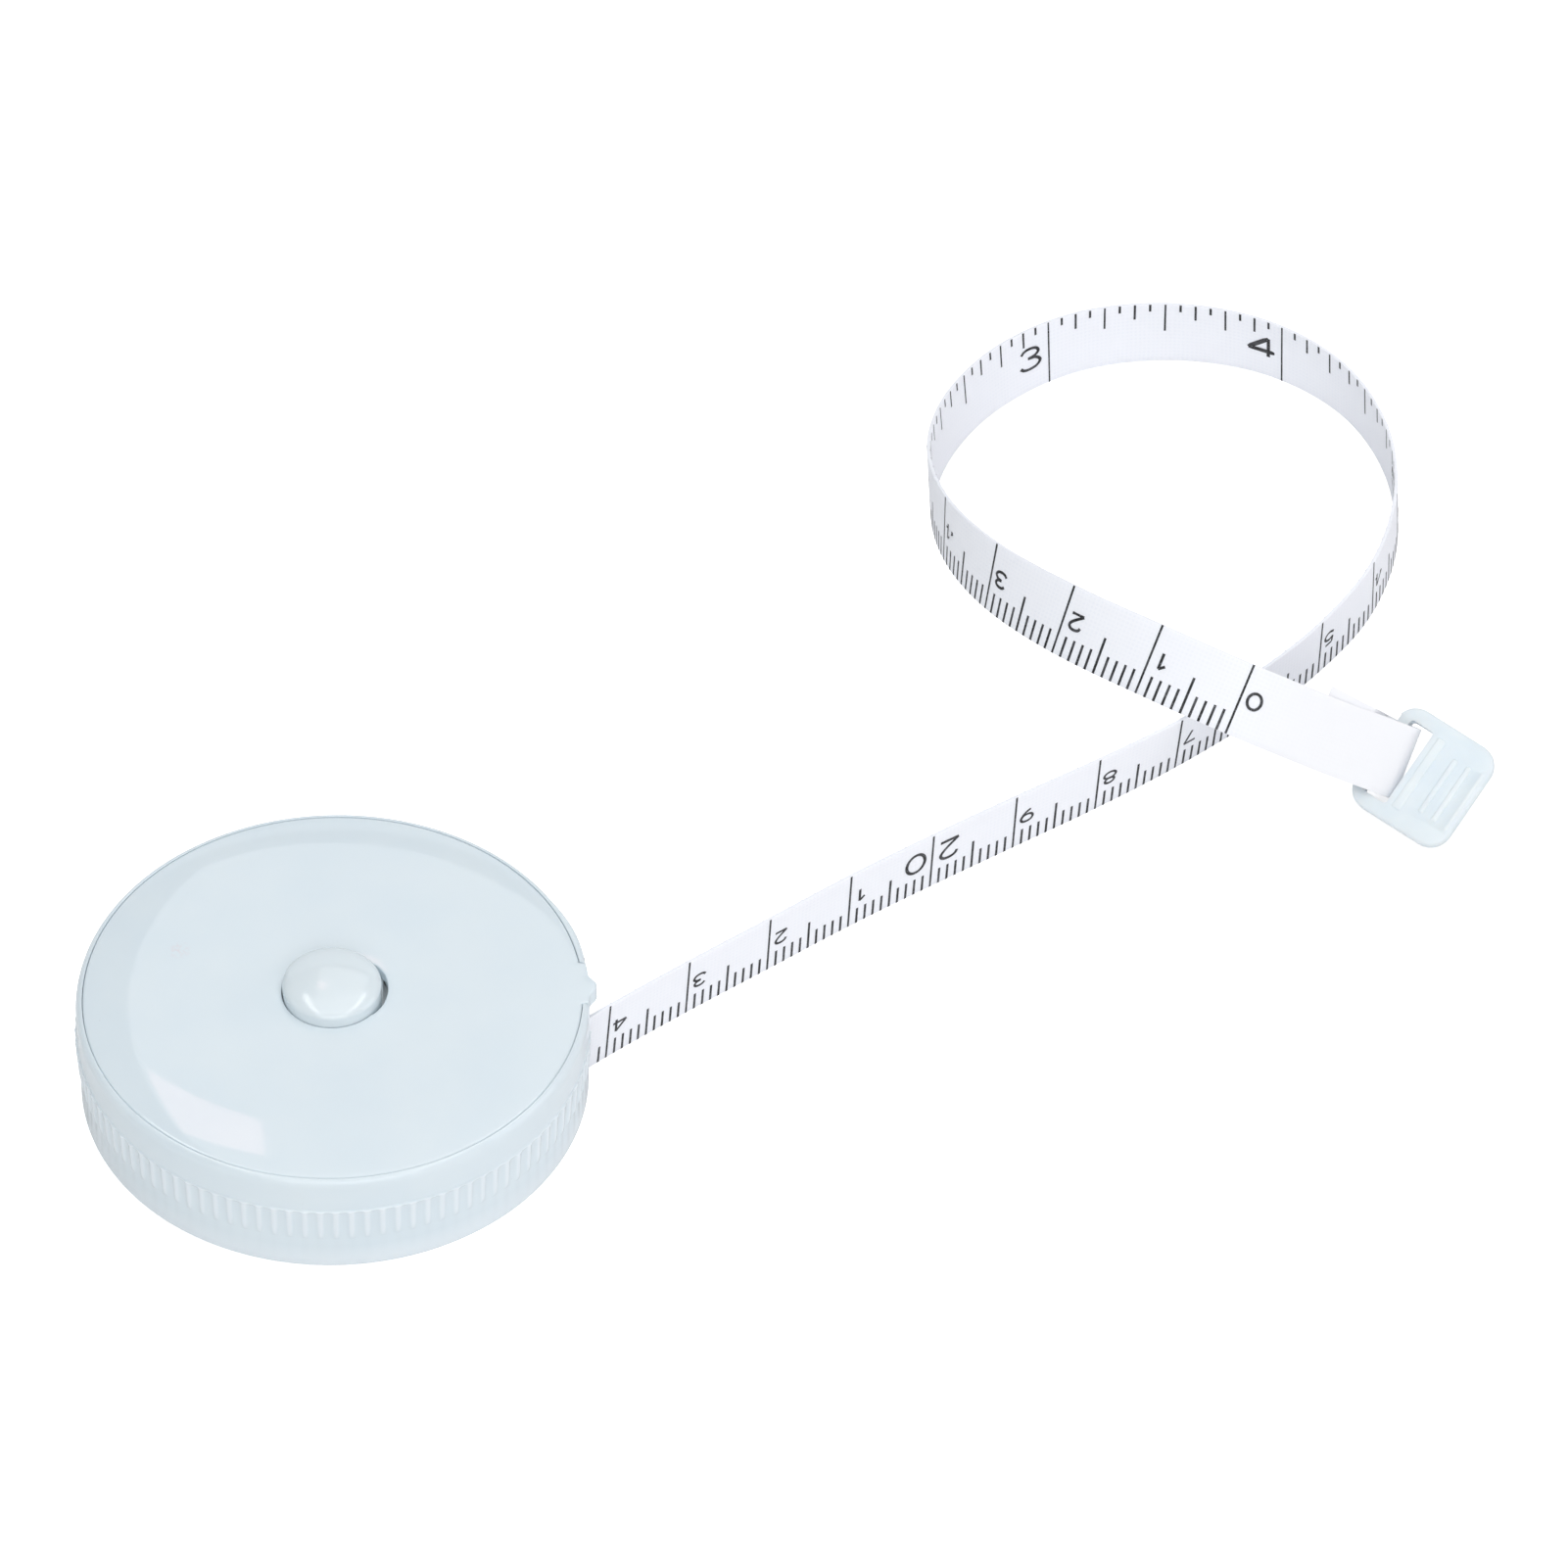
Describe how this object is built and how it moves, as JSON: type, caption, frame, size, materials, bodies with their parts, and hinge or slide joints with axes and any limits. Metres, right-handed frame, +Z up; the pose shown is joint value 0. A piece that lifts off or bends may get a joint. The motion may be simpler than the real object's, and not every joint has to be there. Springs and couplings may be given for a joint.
{
  "type": "cloth tape measure",
  "caption": "Round spring-return cloth tape measure: ribbed two-shell case, push-button ratchet lock, spring drum, and a printed tape drawn out in a loop to its pull tab.",
  "frame": {"origin": "centre of the case's flat underside", "axes": "+Z up through the push button, +X towards the mouth that the tape leaves by"},
  "size_m": [0.1402, 0.128, 0.0155],
  "materials": {
    "case_plastic": "gloss",
    "button_plastic": "gloss",
    "tab_plastic": "gloss",
    "inner_plastic": "satin",
    "slip_washer": "matte",
    "spring_steel": "satin",
    "printed_tape": "matte",
    "blank_tape": "matte"
  },
  "bodies": {
    "casework": {"rear_case": "case_plastic", "front_cover": "case_plastic", "button_spring": "spring_steel", "slide_spring": "spring_steel", "mainspring": "spring_steel", "spool_washer": "slip_washer", "tape_lead": "printed_tape", "tape_free": "printed_tape", "tape_hem": "blank_tape"},
    "button": {"push_button": "button_plastic"},
    "lock": {"locking_slide": "inner_plastic"},
    "spool": {"spool_drum": "inner_plastic", "spool_flange": "inner_plastic", "tape_wound": "printed_tape"},
    "tab": {"pull_tab": "tab_plastic"}
  },
  "joints": [
    {"name": "button_press", "type": "slide", "parent": "casework", "child": "button", "axis": [0, 0, -1], "range_m": [0, 0.0013], "stiffness_N_per_m": 900, "springref_m": -0.0008, "deforming": ["button_spring"]},
    {"name": "lock_slide", "type": "slide", "parent": "casework", "child": "lock", "axis": [1, 0, 0], "range_m": [0, 0.00091], "deforming": ["slide_spring"]},
    {"name": "spool_spin", "type": "hinge", "parent": "casework", "child": "spool", "pos_m": [0, 0, 0], "axis": [0, 0, 1], "continuous": true, "deforming": ["mainspring"]},
    {"name": "tab_swing", "type": "hinge", "parent": "casework", "child": "tab", "pos_m": [0.10397, 0.04076, 0.00446], "axis": [0.5681, 0.6465, 0.5093], "range_deg": [-55, 0]}
  ],
  "couplings": [
    {"joint": "lock_slide", "follows": "button_press", "ratio": 0.7}
  ]
}
